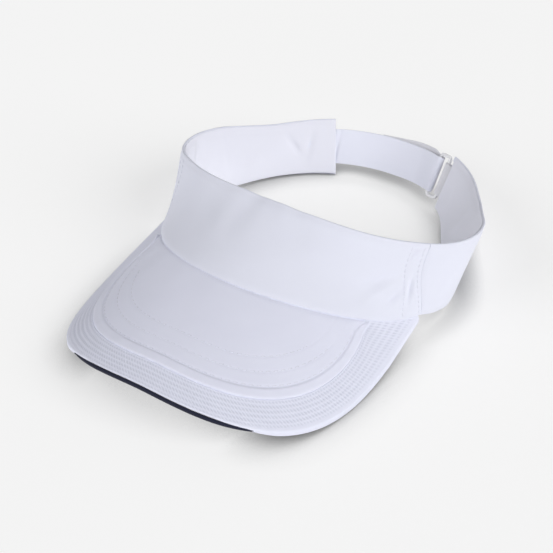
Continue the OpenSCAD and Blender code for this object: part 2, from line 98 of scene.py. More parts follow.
# ---- Surfaces that everything hangs on ----


def sind(a):
    return np.sin(np.radians(a))


def cosd(a):
    return np.cos(np.radians(a))


def vec(*parts):
    return np.stack(np.broadcast_arrays(*parts), -1).astype(float)


def unit(v):
    return v / np.linalg.norm(v, axis=-1, keepdims=True)


def bump(x, width):
    """A smooth bell that is 1 at 0 and close to nothing at twice the width."""
    return np.exp(-(x / width) ** 2)


def ramp(x, low, high):
    t = np.clip((x - low) / (high - low), 0, 1)
    return t * t * (3 - 2 * t)


def turned(x, y, slant):
    """Distances along and beside a line at this slant in degrees."""
    return x * cosd(slant) + y * sind(slant), y * cosd(slant) - x * sind(slant)


def wrapped(a):
    return np.where(a > 180, a - 360, a)


def ring_plan(a):
    share = np.clip((wrapped(a) - TUCK_FROM) / TUCK_SPAN, 0, 1)
    reach = np.where(cosd(a) > 0, BAND_FRONT, BAND_REAR)
    return BAND_HALF_W * sind(a) - TUCK * sind(180 * share) ** 2, OPENING_Y - reach * cosd(a)


def bill_z(x, y):
    rise = BILL_SLOPE * (y - (OPENING_Y - BILL_WIDE_Y - BILL_REACH))
    return BILL_FRONT_Z + rise - BILL_CROWN * x * x * (1 + CROWN_STEEPEN * (x / 90) ** 2)


def bottom_edge(a):
    x, y = ring_plan(a)
    w = wrapped(a)
    side = np.abs(w)
    lift = FOOT_LIFT * np.clip((w - 120) / 37, 0, 1) ** 2 * np.minimum(1, (180 - w) / 23)
    behind = np.clip((side - SEAM_A) / (180 - SEAM_A), 0, 1)
    seam_z = bill_z(*ring_plan(np.float64(SEAM_A)))
    fall = seam_z * (1 - behind) ** DROP_POWER + np.where(w < 0, 0, lift)
    return vec(x, y, np.where(side <= SEAM_A, bill_z(x, y), fall))


def rim_edge(a):
    f = a + LEAN_1 * sind(a) + LEAN_2 * sind(2 * a)
    r = 1 + RIM_OVAL * cosd(2 * f) - RIM_EGG * cosd(3 * f)
    mean = (RIM_FRONT_Z + RIM_REAR_Z + 2 * RIM_SIDE_Z) / 4
    tilt = (RIM_FRONT_Z - RIM_REAR_Z) / 2
    reach = np.where(cosd(f) > 0, RIM_FRONT, RIM_REAR)
    return vec(RIM_HALF_W * sind(f) * r, OPENING_Y + RIM_BACK - reach * cosd(f) * r,
               mean + tilt * cosd(f) + (mean - RIM_SIDE_Z) * cosd(2 * f))


def band_inward(a):
    ahead = bottom_edge(a + 1) + rim_edge(a + 1) - bottom_edge(a - 1) - rim_edge(a - 1)
    return unit(np.cross(rim_edge(a) - bottom_edge(a), ahead))


def sway(a, h):
    """Soft waves that all plies of the band share, in millimetres outwards."""
    w = wrapped(a)
    calm = 1 - ramp(np.abs(w), 112, 134)
    waves = 0.40 * np.sin(w / 6.3 + 0.7) + 0.22 * np.sin(w / 3.4 + 2.1 + 2 * h)
    return waves * calm * np.clip(h, 0, 1.2) ** 1.3


def band_point(a, h, depth):
    """A point on the band. h is 0 at its foot and 1 at its rim, and depth goes inwards."""
    a, h, depth = np.broadcast_arrays(np.asarray(a, float), h, depth)
    low, high = bottom_edge(a), rim_edge(a)
    return low + (high - low) * h[..., None] + band_inward(a) * (depth - sway(a, h))[..., None]


def band_height(a):
    return np.linalg.norm(rim_edge(a) - bottom_edge(a), axis=-1)


def strap_point(s, up, depth):
    """A point s millimetres along the closing strap from the ring's keeper bar."""
    s, up, depth = np.broadcast_arrays(np.asarray(s, float), up, depth)
    a = KEEPER_A + s / BAND_RATE
    lift = unit(rim_edge(a) - bottom_edge(a)) * up[..., None]
    return band_point(a, STRAP_MID_H, depth) + lift


BAND_RATE = np.linalg.norm(band_point(KEEPER_A + 6, STRAP_MID_H, 0)
                           - band_point(KEEPER_A, STRAP_MID_H, 0)) / 6
WIDE_A = math.degrees(math.acos(BILL_WIDE_Y / BAND_FRONT))


def bill_outline(a):
    t = np.clip(90 * a / WIDE_A, -90, 90)
    _, y = ring_plan(a)
    power = 2 / BILL_SQUARE
    ahead = np.abs(a) <= WIDE_A
    side = BILL_HALF_W - SIDE_TAPER * (y - OPENING_Y + BILL_WIDE_Y)
    front_x = BILL_HALF_W * np.sign(t) * np.abs(sind(t)) ** power
    front_y = OPENING_Y - BILL_WIDE_Y - BILL_REACH * np.abs(cosd(t)) ** power
    return np.where(ahead, front_x, np.sign(a) * side), np.where(ahead, front_y, y)


def bill_width(a):
    (ox, oy), (rx, ry) = bill_outline(a), ring_plan(a)
    return np.hypot(ox - rx, oy - ry)


def bill_point(a, inset, depth):
    """A point on the bill, inset from its outline and this deep below its top surface."""
    a, inset, depth = np.broadcast_arrays(np.asarray(a, float), inset, depth)
    (ox, oy), (rx, ry) = bill_outline(a), ring_plan(a)
    share = inset / bill_width(a)
    x, y = ox + (rx - ox) * share, oy + (ry - oy) * share
    side = 2 * BILL_CROWN * x * (1 + 2 * CROWN_STEEPEN * (x / 90) ** 2)
    return vec(x, y, bill_z(x, y) - depth * np.sqrt(1 + side * side + BILL_SLOPE ** 2))


def run_of(points):
    """Distance along a row of points."""
    return np.concatenate([[0], np.cumsum(np.linalg.norm(np.diff(points, axis=0), axis=1))])


def bill_line(end_a, inset, count):
    """Fine steps in angle along the bill at this inset, and the distance to each."""
    fine = np.linspace(-end_a, end_a, count)
    return fine, run_of(bill_point(fine, inset, 0))


def bill_angles(end_a, step, inset):
    """Angles evenly spaced in millimetres along the line at this inset, and the distances."""
    fine, run = bill_line(end_a, inset, 6001)
    s = np.linspace(0, run[-1], math.ceil(run[-1] / step) + 1)
    return np.interp(s, run, fine), s


def spaced(low, high, step, round_low=0.0, round_high=0.0):
    """Positions from low to high, closer together where an edge is rounded."""
    turn = 1 - cosd(np.array([0, 30, 60, 90]))
    start = low + round_low * turn if round_low else np.array([low])
    stop = high - round_high * turn[::-1] if round_high else np.array([high])
    count = max(2, math.ceil((stop[0] - start[-1]) / step) + 1)
    return np.concatenate([start[:-1], np.linspace(start[-1], stop[0], count), stop[1:]])


# ---- Meshes ----


def make_piece(name, verts, faces, uvs, material, pit_shade=None):
    """A smooth mesh of quads from millimetre points, with cloth coordinates in millimetres.

    The optional mask is 1 at a point that lies in a hole and 0 at one that doesn't; the mesh and
    thread materials paint shade where it is 1.
    """
    mesh = bpy.data.meshes.new(name)
    corners = np.asarray(faces, np.int32).ravel()
    mesh.vertices.add(len(verts))
    mesh.vertices.foreach_set("co", (np.asarray(verts) * MM).astype(np.float32).ravel())
    mesh.loops.add(len(corners))
    mesh.loops.foreach_set("vertex_index", corners)
    mesh.polygons.add(len(corners) // 4)
    mesh.polygons.foreach_set("loop_start", np.arange(0, len(corners), 4, dtype=np.int32))
    mesh.polygons.foreach_set("use_smooth", np.ones(len(corners) // 4, bool))
    mesh.update(calc_edges=True)
    layer = mesh.uv_layers.new(name="cloth")
    layer.data.foreach_set("uv", np.asarray(uvs, np.float32)[corners].ravel())
    if pit_shade is not None:
        layer = mesh.attributes.new("pit_shade", "FLOAT", "POINT")
        layer.data.foreach_set("value", np.asarray(pit_shade, np.float32).ravel())
    mesh.materials.append(material)
    piece = bpy.data.objects.new(name, mesh)
    bpy.context.scene.collection.objects.link(piece)
    return piece


def grid_faces(index):
    return np.stack([index[:-1, :-1], index[1:, :-1], index[1:, 1:], index[:-1, 1:]],
                    -1).reshape(-1, 4)


def border_distances(grid):
    """Distance of every grid point from the two ends of its row and of its column."""
    along = np.linalg.norm(np.diff(grid, axis=0), axis=2)
    across = np.linalg.norm(np.diff(grid, axis=1), axis=2)
    u = np.pad(np.cumsum(along, 0), ((1, 0), (0, 0)))
    v = np.pad(np.cumsum(across, 1), ((0, 0), (1, 0)))
    return u, v, u[-1:] - u, v[:, -1:] - v


def cloth(name, mid, thick, material, body="visor", over=(), radius=None, top=0.0, under=0.0,
          pit_shade=None):
    """A closed sheet of this thickness about a grid of middle points, with rounded edges.

    top and under push its two faces outwards. They fade out within the rounded edge.
    """
    u, v, u_back, v_back = border_distances(mid)
    normal = unit(np.cross(np.gradient(mid, axis=0), np.gradient(mid, axis=1)))
    thick = np.broadcast_to(thick, u.shape)
    radius = thick / 2 if radius is None else radius
    inside = np.clip(np.minimum(np.minimum(u, v), np.minimum(u_back, v_back)) / radius, 0, 1)
    half = np.sqrt(np.clip(1 - (1 - inside) ** 2, 0, 1))
    upper = half * thick / 2 + half * top
    lower = half * thick / 2 + half * under
    inner = np.zeros(u.shape, bool)
    inner[1:-1, 1:-1] = True
    above = np.arange(u.size).reshape(u.shape)
    below = above.copy()
    below[inner] = u.size + np.arange(inner.sum())
    verts = np.concatenate([(mid + normal * upper[..., None]).reshape(-1, 3),
                            (mid - normal * lower[..., None])[inner]])
    plane = np.stack([u, v], -1)
    uvs = np.concatenate([plane.reshape(-1, 2), plane[inner]])
    faces = np.concatenate([grid_faces(above), grid_faces(below)[:, ::-1]])
    if pit_shade is not None:
        pit_shade = np.concatenate([pit_shade.ravel(), np.zeros(inner.sum())])
    return place(make_piece(name, verts, faces, uvs, material, pit_shade), body, over)


def place(piece, body, over):
    if body:
        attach(piece, body)
    if over:
        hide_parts(*over)
    return piece


def stitches(name, starts, stops, ups, over, thread=0.24):
    """Sewing thread: each stitch arches from where it comes out of the cloth to where it
    goes in again."""
    rings, sides = 9, 6
    rise, bite = 0.26, 0.17
    t = np.linspace(0, 1, rings)
    arch = np.sin(np.pi * t)
    run = stops - starts
    across = unit(np.cross(run, ups))
    centre = (starts[:, None] + run[:, None] * t[:, None]
              + ups[:, None] * (rise * arch ** 0.6 - bite)[:, None])
    turn = np.arange(sides) * 2 * np.pi / sides
    radius = thread * (0.45 + 0.55 * arch ** 0.5)
    spoke = (across[:, None, None] * np.cos(turn)[:, None]
             + ups[:, None, None] * np.sin(turn)[:, None])
    verts = centre[:, :, None] + spoke * radius[None, :, None, None]
    index = np.arange(rings * sides).reshape(rings, sides)
    loop = np.pad(index, ((0, 0), (0, 1)), mode="wrap")
    first, last = index[0], index[-1]
    ends = np.array([first[[0, 1, 2, 3]], first[[0, 3, 4, 5]], last[[3, 2, 1, 0]],
                     last[[5, 4, 3, 0]]])
    one = np.concatenate([grid_faces(loop), ends])
    faces = (one[None] + np.arange(len(starts))[:, None, None] * rings * sides).reshape(-1, 4)
    length = np.linalg.norm(run, axis=1)
    uvs = vec(length[:, None, None] * t[:, None], turn * thread).reshape(-1, 2)
    # Painted shade: the stitch ends, where the thread dives into the cloth, are marked for a
    # darker colour.
    needle_hole_shade = np.broadcast_to(1 - ramp(arch, 0.2, 0.55)[:, None], (len(starts), rings, sides))
    row = place(make_piece(name, verts.reshape(-1, 3), faces, uvs, THREAD, needle_hole_shade), "visor", over)


# ---- Materials ----


class Graph:
    """A material and short ways to add nodes to it."""

    def __init__(self, name):
        self.material = bpy.data.materials.new(name)
        self.material.use_nodes = True
        self.tree = self.material.node_tree
        self.shader = self.tree.nodes["Principled BSDF"]

    def node(self, kind, values=None, **settings):
        new = self.tree.nodes.new("ShaderNode" + kind)
        for key, value in settings.items():
            setattr(new, key, value)
        for key, value in (values or {}).items():
            self.put(new.inputs[key], value)
        return new

    def put(self, socket, value):
        if isinstance(value, bpy.types.NodeSocket):
            self.tree.links.new(value, socket)
        else:
            socket.default_value = value

    def maths(self, operation, a, b):
        return self.node("Math", {0: a, 1: b}, operation=operation).outputs[0]

    def blend(self, share, low, high):
        """A colour between two, chosen by share from 0 to 1."""
        mix = self.node("Mix", data_type="RGBA")
        self.put(mix.inputs[0], share)
        self.put(mix.inputs[6], low)
        self.put(mix.inputs[7], high)
        return mix.outputs[2]

    def noise(self, where, scale, detail=2.0):
        return self.node("TexNoise", {"Vector": where, "Scale": scale,
                                      "Detail": detail}).outputs[0]

    def spread(self, value, low, high, to_low=0.0, to_high=1.0):
        return self.node("MapRange", {0: value, 1: low, 2: high, 3: to_low,
                                      4: to_high}).outputs[0]

    def finished(self, colour, rough, height, strength, depth, plain):
        """Wires up the shader, with relief of this depth in mm, and returns the material."""
        relief = self.node("Bump", {"Height": height, "Strength": strength,
                                    "Distance": depth * MM}).outputs[0]
        values = {"Base Color": colour, "Roughness": rough, "Normal": relief, **plain}
        for key, value in values.items():
            self.put(self.shader.inputs[key], value)
        return self.material


def rgba(red, green, blue):
    return (red, green, blue, 1.0)


def woven(name, light, dark, pitch=0.45, depth=0.03, sheen=0.15, twill=False, fuzz=0.0,
          pit_shade_colour=None):
    """Cloth of crossed threads. pitch is the thread's width and depth its relief, in mm."""
    g = Graph(name)
    where = g.node("UVMap", uv_map="cloth").outputs[0]
    if twill:
        where = g.node("Mapping", {"Vector": where, "Rotation": (0, 0, 0.9)}).outputs[0]
    wave = 0.314 / pitch
    uneven = {"Vector": where, "Distortion": 0.8, "Detail": 1.0, "Detail Scale": 0.4}
    warp = g.node("TexWave", {**uneven, "Scale": wave}, bands_direction="X").outputs[1]
    weft = g.node("TexWave", {**uneven, "Scale": wave * (0.5 if twill else 1.0)},
                  bands_direction="Y").outputs[1]
    over = g.node("TexChecker", {"Vector": where, "Scale": 1 / pitch}).outputs[1]
    threads = g.maths("ADD", g.maths("MULTIPLY", warp, over),
                      g.maths("MULTIPLY", weft, g.maths("SUBTRACT", 1.0, over)))
    fibre = g.noise(where, 1.7, 3.0)
    broad = g.noise(where, 0.035, 2.0)
    tone = g.maths("ADD", g.maths("MULTIPLY", threads, 0.35),
                   g.maths("ADD", g.maths("MULTIPLY", fibre, 0.30),
                           g.maths("MULTIPLY", broad, 0.55)))
    colour = g.blend(g.spread(tone, 0.25, 0.95), rgba(*dark), rgba(*light))
    # Painted shade: where the mask marks a hole, the cloth's colour gives way to a darker one.
    if pit_shade_colour:
        hole = g.node("Attribute", attribute_name="pit_shade").outputs["Fac"]
        colour = g.blend(hole, colour, rgba(*pit_shade_colour))
    height = g.maths("ADD", threads, g.maths("MULTIPLY", fibre, 0.6 + fuzz))
    return g.finished(colour, g.spread(fibre, 0.3, 0.7, 0.72, 0.88), height, 0.6, depth,
                      {"Sheen Weight": sheen, "Sheen Roughness": 0.45,
                       "Specular IOR Level": 0.3})


def brushed(name, light, dark, grain, depth):
    """Soft cloth with a raised surface of short fibres, such as terry, pile or felt."""
    g = Graph(name)
    where = g.node("UVMap", uv_map="cloth").outputs[0]
    tuft = g.node("TexVoronoi", {"Vector": where, "Scale": 1 / grain}).outputs[0]
    fibre = g.noise(where, 2.6 / grain, 3.0)
    broad = g.noise(where, 0.05, 2.0)
    tone = g.maths("ADD", g.maths("MULTIPLY", tuft, 0.3),
                   g.maths("ADD", g.maths("MULTIPLY", fibre, 0.4),
                           g.maths("MULTIPLY", broad, 0.4)))
    colour = g.blend(g.spread(tone, 0.3, 0.85), rgba(*dark), rgba(*light))
    height = g.maths("ADD", g.maths("SUBTRACT", 1.0, tuft), fibre)
    return g.finished(colour, g.spread(fibre, 0.3, 0.7, 0.82, 0.97), height, 0.7, depth,
                      {"Sheen Weight": 0.35, "Sheen Roughness": 0.6,
                       "Specular IOR Level": 0.15})


def twisted(name, light, dark, hole):
    """Sewing thread, plied at a slant, with painted shade where it dives into its needle hole.
    """
    g = Graph(name)
    where = g.node("UVMap", uv_map="cloth").outputs[0]
    slanted = g.node("Mapping", {"Vector": where, "Rotation": (0, 0, 0.7)}).outputs[0]
    ply = g.node("TexWave", {"Vector": slanted, "Scale": 1.3, "Distortion": 0.3}).outputs[1]
    fibre = g.noise(where, 4.0)
    colour = g.blend(g.maths("MULTIPLY", g.maths("ADD", ply, fibre), 0.5), rgba(*dark),
                     rgba(*light))
    needle_hole_shade = g.node("Attribute", attribute_name="pit_shade").outputs["Fac"]
    return g.finished(g.blend(needle_hole_shade, colour, rgba(*hole)), g.spread(fibre, 0.3, 0.7, 0.45, 0.65),
                      ply, 0.6, 0.05, {"Sheen Weight": 0.1})


def moulded(name, light, dark, rough, grain=0.5, depth=0.01, coat=0.0):
    """Plastic with the faint unevenness of a mould, coordinates in metres."""
    g = Graph(name)
    where = g.node("TexCoord").outputs["Object"]
    broad = g.noise(where, 60.0, 2.0)
    fine = g.noise(where, 1000.0 / grain, 2.0)
    return g.finished(g.blend(broad, rgba(*dark), rgba(*light)),
                      g.spread(fine, 0.3, 0.7, *rough), fine, 0.4, depth,
                      {"Coat Weight": coat, "Coat Roughness": 0.12, "IOR": 1.5})


SHELL = woven("white_microfibre", (0.815, 0.832, 0.935), (0.775, 0.788, 0.895))
BILL_CLOTH = woven("white_bill_cloth", (0.838, 0.853, 0.978), (0.795, 0.807, 0.94))
LINING = woven("white_lining", (0.83, 0.838, 0.92), (0.785, 0.788, 0.875), pitch=0.6, depth=0.05,
               fuzz=0.6, sheen=0.25)
# The mesh's last colour is painted shade for its holes.
MESH = woven("white_mesh_knit", (0.835, 0.852, 0.978), (0.795, 0.81, 0.94), pitch=0.4,
             depth=0.04, pit_shade_colour=(0.69, 0.71, 0.84))
NAVY = woven("navy_twill", (0.016, 0.019, 0.045), (0.008, 0.009, 0.024), pitch=0.5, depth=0.06,
             twill=True, sheen=0.05)
BUCKRAM = woven("stiff_backing", (0.84, 0.84, 0.82), (0.66, 0.66, 0.65), pitch=1.1, depth=0.2)
WEBBING = woven("offwhite_webbing", (0.83, 0.83, 0.88), (0.73, 0.73, 0.78), pitch=0.8,
                depth=0.10)
TERRY = brushed("terry_sweatband", (0.86, 0.86, 0.90), (0.76, 0.76, 0.82), 0.9, 0.25)
PILE = brushed("loop_pile", (0.92, 0.92, 0.95), (0.82, 0.82, 0.87), 0.5, 0.25)
# The thread's last colour is painted shade at its needle holes.
THREAD = twisted("white_thread", (0.82, 0.83, 0.93), (0.72, 0.73, 0.84), (0.46, 0.47, 0.56))
HOOKS = moulded("hook_nylon", (0.84, 0.84, 0.86), (0.76, 0.76, 0.80), (0.35, 0.5))
BOARD = moulded("board_polyethylene", (0.80, 0.80, 0.80), (0.74, 0.74, 0.75), (0.45, 0.6),
                grain=1.2, depth=0.05)
RING = moulded("ring_acetal", (0.93, 0.93, 0.95), (0.88, 0.88, 0.91), (0.16, 0.26), coat=0.4)

# ---- Band ----

# Roughly how many millimetres one degree of the band is, and how high the band stands on
# average, at the front and at a side, for reliefs that are sized in millimetres.
DEG_MM, BAND_MM, FRONT_MM, SIDE_MM = 1.6, 40, 41, 34
SEAM_BOW = 1.9


def bowed(a, h):
    """Angles near a side seam, moved to where the seam bows forward at half height."""
    near = 1 - ramp(np.abs(np.abs(a) - SEAM_A), 1, 14)
    return a - np.sign(a) * SEAM_BOW * near * np.sin(np.pi * np.clip(h, 0, 1) ** 1.2) ** 1.4


def seam_row_offset(row, h):
    return SEAM_ROWS[row][0] + (SEAM_ROWS[row][1] - SEAM_ROWS[row][0]) * h


def creases(a, h, lines):
    """Soft ridges and, with a height below 0, valleys on the band. Each has a middle (a, h),
    a slant in degrees, a height, a width and a length, the last three in millimetres."""
    total = 0
    for mid_a, mid_h, slant, high, wide, long in lines:
        along, beside = turned((a - mid_a) * DEG_MM, (h - mid_h) * BAND_MM, slant)
        total = total + high * bump(beside, wide) * bump(along, long)
    return total


# Folds where the front panel is gathered into its left seam, then faint ones.
FRONT_CREASES = ((55.5, 0.42, 26, -2.0, 4.0, 14.0), (61.4, 0.27, 35, -1.6, 1.7, 6.0),
                 (58, 0.38, 30, 1.2, 1.8, 8.0), (69.2, 0.39, 68, -1.5, 1.5, 7.0),
                 (66.6, 0.36, 68, 0.9, 1.3, 7.0), (70, 0.85, 63, -1.1, 1.2, 5.0),
                 (60, 0.42, 30, 1.7, 11.0, 18.0),
                 (-61, 0.20, 140, 0.45, 1.6, 6.0), (-55, 0.12, 146, 0.35, 1.8, 6.0),
                 (30, 0.60, 12, 0.45, 5.0, 16.0), (-24, 0.50, 170, 0.50, 5.0, 18.0),
                 (5, 0.30, 4, 0.35, 5.0, 20.0), (-33, 0.46, -28, -0.7, 8.0, 20.0))


def front_relief(a, h):
    """How far the front panel's cloth stands off its backing, in millimetres."""
    foot = h * FRONT_MM
    seam = (SEAM_A - np.abs(a)) * DEG_MM
    puff = 0.5 * (1 - bump(foot, 1.1)) * (1 - bump(seam, 1.6))
    pitch = (SEAM_HIGH - SEAM_LOW) / SEAM_STITCHES
    beat = 0.7 + 0.3 * np.cos(2 * np.pi * (h - SEAM_LOW) / pitch)
    for row in (0, 1):
        line = (SEAM_A - seam_row_offset(row, h) - np.abs(a)) * DEG_MM
        puff = puff - 0.26 * bump(line, 0.9) * beat
    return (puff + creases(a, h, FRONT_CREASES)) * (1 - ramp(h, 0.90, 0.97))


def rolled_rim(a, inner_h, inner_depth):
    """Rows that climb the outer face, roll over the rim and run down inside: their heights,
    depths and a share that is 1 on the outer face."""
    height = band_height(a)[:, None]
    r = (inner_depth - SHELL_T / 2) / 2
    top = height - r - SHELL_T / 2
    outer = spaced(0, 1, 0.022, 0.008)
    arc = np.radians(np.linspace(-90, 90, 13)[1:-1])
    inner = spaced(0, 1, 0.14, 0, 0.05)
    climb = top * outer
    over = top + r * np.cos(arc)
    down = top + (inner_h * height - top) * inner
    depth = np.concatenate([np.full(len(outer), SHELL_T / 2), SHELL_T / 2 + r + r * np.sin(arc),
                            np.full(len(inner), inner_depth)])
    outside = np.concatenate([np.ones(len(outer)), np.zeros(len(arc) + len(inner))])
    return np.concatenate([climb, over, down], 1) / height, depth, outside


def build_front_panel():
    a = spaced(-SEAM_A, SEAM_A, 0.55, 0.22, 0.22)
    h, depth, outside = rolled_rim(a, 0.84, HEM_DEPTH + SHELL_T / 2)
    mid = band_point(bowed(a[:, None], h), h, depth - front_relief(a[:, None], h) * outside)
    panel = cloth("front_panel_cloth", mid, SHELL_T, SHELL,
                  over=("front_panel", "front_top_hem"))


def band_ply(name, a_low, a_high, h_low, h_high, depth, thick, material, over, relief=None,
             skew=0.0, thickness=None, radius=None, step=0.9):
    """A plain ply of the band between two angles, from depth inwards."""
    edge = thick / 2 / DEG_MM
    a = spaced(a_low, a_high, step, edge, edge)[:, None]
    round_h = thick / 2 / BAND_MM
    h = spaced(h_low, h_high, 0.028, round_h, round_h)[None, :]
    near, far = (a_high, a_low) if a_high < 0 else (a_low, a_high)
    around = a + skew * np.sign(far) * (1 - h) * (a - near) / (far - near)
    thick = np.full(around.shape, thick) if thickness is None else thickness(around, h + 0 * a)
    shift = 0 if relief is None else relief(around, h + 0 * a)
    mid = band_point(around, h, depth + thick / 2 + shift)
    return cloth(name, mid, thick, material, over=over, radius=radius)


PAD_LOW, PAD_HIGH, PAD_ROW_H = 0.1, 0.8, 0.75
PAD_ROW_END, PAD_STITCHES = SEAM_A - 3, 46
PAD_PITCH = 2 * PAD_ROW_END / PAD_STITCHES


def sweatband_thickness(a, h):
    """Foam held down by its stitch row near the top and by the seam at its foot."""
    share = (h - PAD_LOW) / (PAD_HIGH - PAD_LOW)
    crown = 1 - np.abs(2 * share - 0.95) ** 3 * 0.55
    row = (h - PAD_ROW_H) * FRONT_MM
    beat = 0.8 + 0.2 * np.cos(2 * np.pi * (a + PAD_ROW_END) / PAD_PITCH)
    return SWEATBAND_T * np.clip(crown, 0.35, 1) - 0.9 * bump(row, 1.6) * beat


def build_backing():
    backing = band_ply("front_backing_cloth", -SEAM_A + 3, SEAM_A - 3, 0.03, 0.96,
                       BACKING_DEPTH, BACKING_T, BUCKRAM, ("front_backing",))


def build_sweatband():
    pad = band_ply("sweatband_pad", -SEAM_A + 0.5, SEAM_A - 0.5, PAD_LOW, PAD_HIGH, HEM_DEPTH,
                   SWEATBAND_T, TERRY, ("front_sweatband",), thickness=sweatband_thickness,
                   radius=1.1, step=0.5)


def build_bill_seam_tape():
    tape = band_ply("bill_seam_tape_cloth", -SEAM_A + 2, SEAM_A - 2, 0.01, 0.08, HEM_DEPTH,
                    TAPE_T, NAVY, ("bill_seam_tape",))


def build_sweatband_stitches():
    def on_pad(angle):
        return band_point(angle, PAD_ROW_H,
                          HEM_DEPTH + sweatband_thickness(angle, PAD_ROW_H) + 0.05)

    a = -PAD_ROW_END + np.arange(PAD_STITCHES) * PAD_PITCH
    stitches("sweatband_thread", on_pad(a), on_pad(a + PAD_PITCH * STITCH_SHARE),
             band_inward(a), ("sweatband_stitches",))


SIDE_CREASES = {1: ((84, 0.5, 70, 0.30, 3.0, 9.0), (112, 0.45, 100, 0.35, 4.0, 10.0),
                    (134, 0.5, 80, 0.25, 3.5, 8.0)),
                -1: ((-84, 0.5, 110, 0.30, 3.0, 9.0), (-110, 0.5, 80, 0.35, 4.0, 10.0),
                     (-134, 0.5, 100, 0.25, 3.5, 8.0))}


def side_relief(side):
    def relief(a, h):
        seam = (np.abs(a) - SEAM_A) * DEG_MM
        foot = h * SIDE_MM
        puff = 0.45 * (1 - bump(seam, 1.6)) * (1 - bump(foot, 1.8))
        end = np.abs(wrapped(a)) - 146
        return ((puff + creases(a, h, SIDE_CREASES[side])) * (1 - ramp(h, 0.88, 0.96))
                * (1 - ramp(end, -12, -4) * (1 if side > 0 else 0.3)))
    return relief


LINING_CREASES = {1: ((96, 0.5, 75, 0.5, 3.0, 9.0), (124, 0.45, 110, 0.6, 4.0, 10.0),
                      (144, 0.55, 70, 0.4, 3.0, 8.0)),
                  -1: ((-135.6, 0.54, 49, -1.8, 2.7, 11.0), (-142.4, 0.54, 88, -1.6, 2.5, 9.0),
                       (-92, 0.5, 100, 0.6, 5.0, 10.0), (-118, 0.45, 80, 0.5, 5.0, 10.0),
                       (-104, 0.6, 60, -0.7, 3.5, 10.0))}


def lining_relief(side):
    def relief(a, h):
        middle = 0.35 * np.sin(np.pi * np.clip((h - 0.02) / 0.93, 0, 1)) ** 0.6
        hem = 0.7 * (1 - ramp(np.abs(a), 86.0, 87.5)) * (1 - ramp(h, 0.9, 0.97))
        return middle + hem + creases(a, h, LINING_CREASES[side]) * (1 - ramp(h, 0.8, 0.95))
    return relief


TUCKED_DEPTH, LINING_TOP = 1.3, 0.985


def lining_thickness(a, h):
    """Full in the middle and pressed thin where it tucks under the rim."""
    return LINING_T * (1 - 0.6 * ramp(h, 0.84, 0.97))


def build_side(side, name):
    """A side panel, rolled over at the rim, and its lining. side is 1 for the wearer's left."""
    end, skew = (LEFT_END_A, 0.0) if side > 0 else (RIGHT_END_A, END_SKEW)
    limits = sorted((side * SEAM_A, end))
    a = spaced(*limits, 0.6, 0.22, 0.22)
    h, depth, outside = rolled_rim(a, 0.90, TUCKED_DEPTH)
    around = a[:, None] + skew * side * (1 - h) * (a[:, None] - side * SEAM_A) / (
        end - side * SEAM_A)
    mid = band_point(bowed(around, h), h, depth - side_relief(side)(around, h) * outside)
    panel = cloth(name + "_panel_cloth", mid, SHELL_T, SHELL, over=(name + "_side_panel",))
    short = 1.4 if side > 0 else 0.0
    limits = sorted((side * (SEAM_A + 0.5), end - side * short))
    lining = band_ply(name + "_lining_cloth", *limits, 0.02, LINING_TOP, LINING_DEPTH, LINING_T,
                      LINING, (name + "_lining",), relief=lining_relief(side), skew=skew,
                      thickness=lining_thickness)


def build_seam_stitches(side, name):
    pitch = (SEAM_HIGH - SEAM_LOW) / SEAM_STITCHES
    low = SEAM_LOW + pitch * np.arange(SEAM_STITCHES)
    high = low + pitch * STITCH_SHARE
    starts, stops, ups = [], [], []
    for row in (0, 1):
        for h, points in ((low, starts), (high, stops)):
            a = side * (SEAM_A - seam_row_offset(row, h))
            points.append(band_point(bowed(a, h), h, -front_relief(a, h) - 0.08))
        ups.append(-band_inward(side * (SEAM_A - seam_row_offset(row, low))))
    stitches(name + "_seam_thread", np.concatenate(starts), np.concatenate(stops),
             np.concatenate(ups), (name + "_seam_stitches",), thread=0.2)


# ---- Bill ----

BILL_END_A = SEAM_A - 4
PANEL_RUN_INSET = 30
SEAM_UNDER = 0.5
RIDGE_SHOW = 0.85
# How far the border stands back where the dark edge shows and wraps down elsewhere, and
# how far the edge is drawn in and thinned under that wrap.
SHOW_FROM, WRAP_DOWN, EDGE_TUCK, EDGE_TRIM = 1.3, 2.0, 0.85, 0.9


def quilt(s, inset):
    """Relief that the three stitch rows press into the bill's centre panel."""
    total = 0
    for row_inset, _ in ROWS.values():
        beat = 0.75 + 0.25 * np.cos(2 * np.pi * s / ROW_PITCH)
        total = total - 0.15 * bump(inset - row_inset, 0.75) * beat
    return total


def panel_relief(a, s, inset):
    """Height of the centre panel's cloth over the CAD surface, in millimetres."""
    width = bill_width(a)
    ridge = np.minimum(RIDGE_W, (width - BILL_GAP - RIDGE_INSET) / 2)
    across = np.clip((inset - RIDGE_INSET) / ridge, 0, 1)
    roll = RIDGE_SHOW * (1 - np.abs(2 * across - 0.95) ** 5) * (across < 1)
    roll = np.clip(roll, 0, None) * (1 + 0.08 * np.sin(s / 1.9) + 0.08 * np.sin(s / 4.3 + 1))
    seam = width - inset
    puff = 0.4 * (1 - bump(seam, 2.4)) * ramp(inset, RIDGE_INSET + 4, RIDGE_INSET + 9)
    soft = 0.12 * np.sin(s / 7 + inset / 9) * ramp(inset, 20, 34)
    groove = 0.5 * bump(seam - 0.1, 0.8)
    return roll + puff - groove + (quilt(s, inset) + soft) * (1 - bump(seam, 2.0))


def build_bill_panel():
    a, s = bill_angles(PANEL_END_A, 1.0, PANEL_RUN_INSET)
    a, s = a[:, None], s[:, None]
    room = bill_width(a) + SEAM_UNDER - RIDGE_INSET
    ridge = np.minimum(RIDGE_W, room / 2)
    first = spaced(0, 1, 0.055, 0.05)[None, :]
    rest = spaced(0, 1, 0.0125, 0, 0.006)[None, 1:]
    inset = RIDGE_INSET + np.concatenate([ridge * first, ridge + (room - ridge) * rest], 1)
    mid = bill_point(a, inset, SHELL_T / 2)
    piece = cloth("bill_panel_cloth", mid, SHELL_T, BILL_CLOTH, over=("bill_top_panel",),
                  top=panel_relief(a, s, inset))


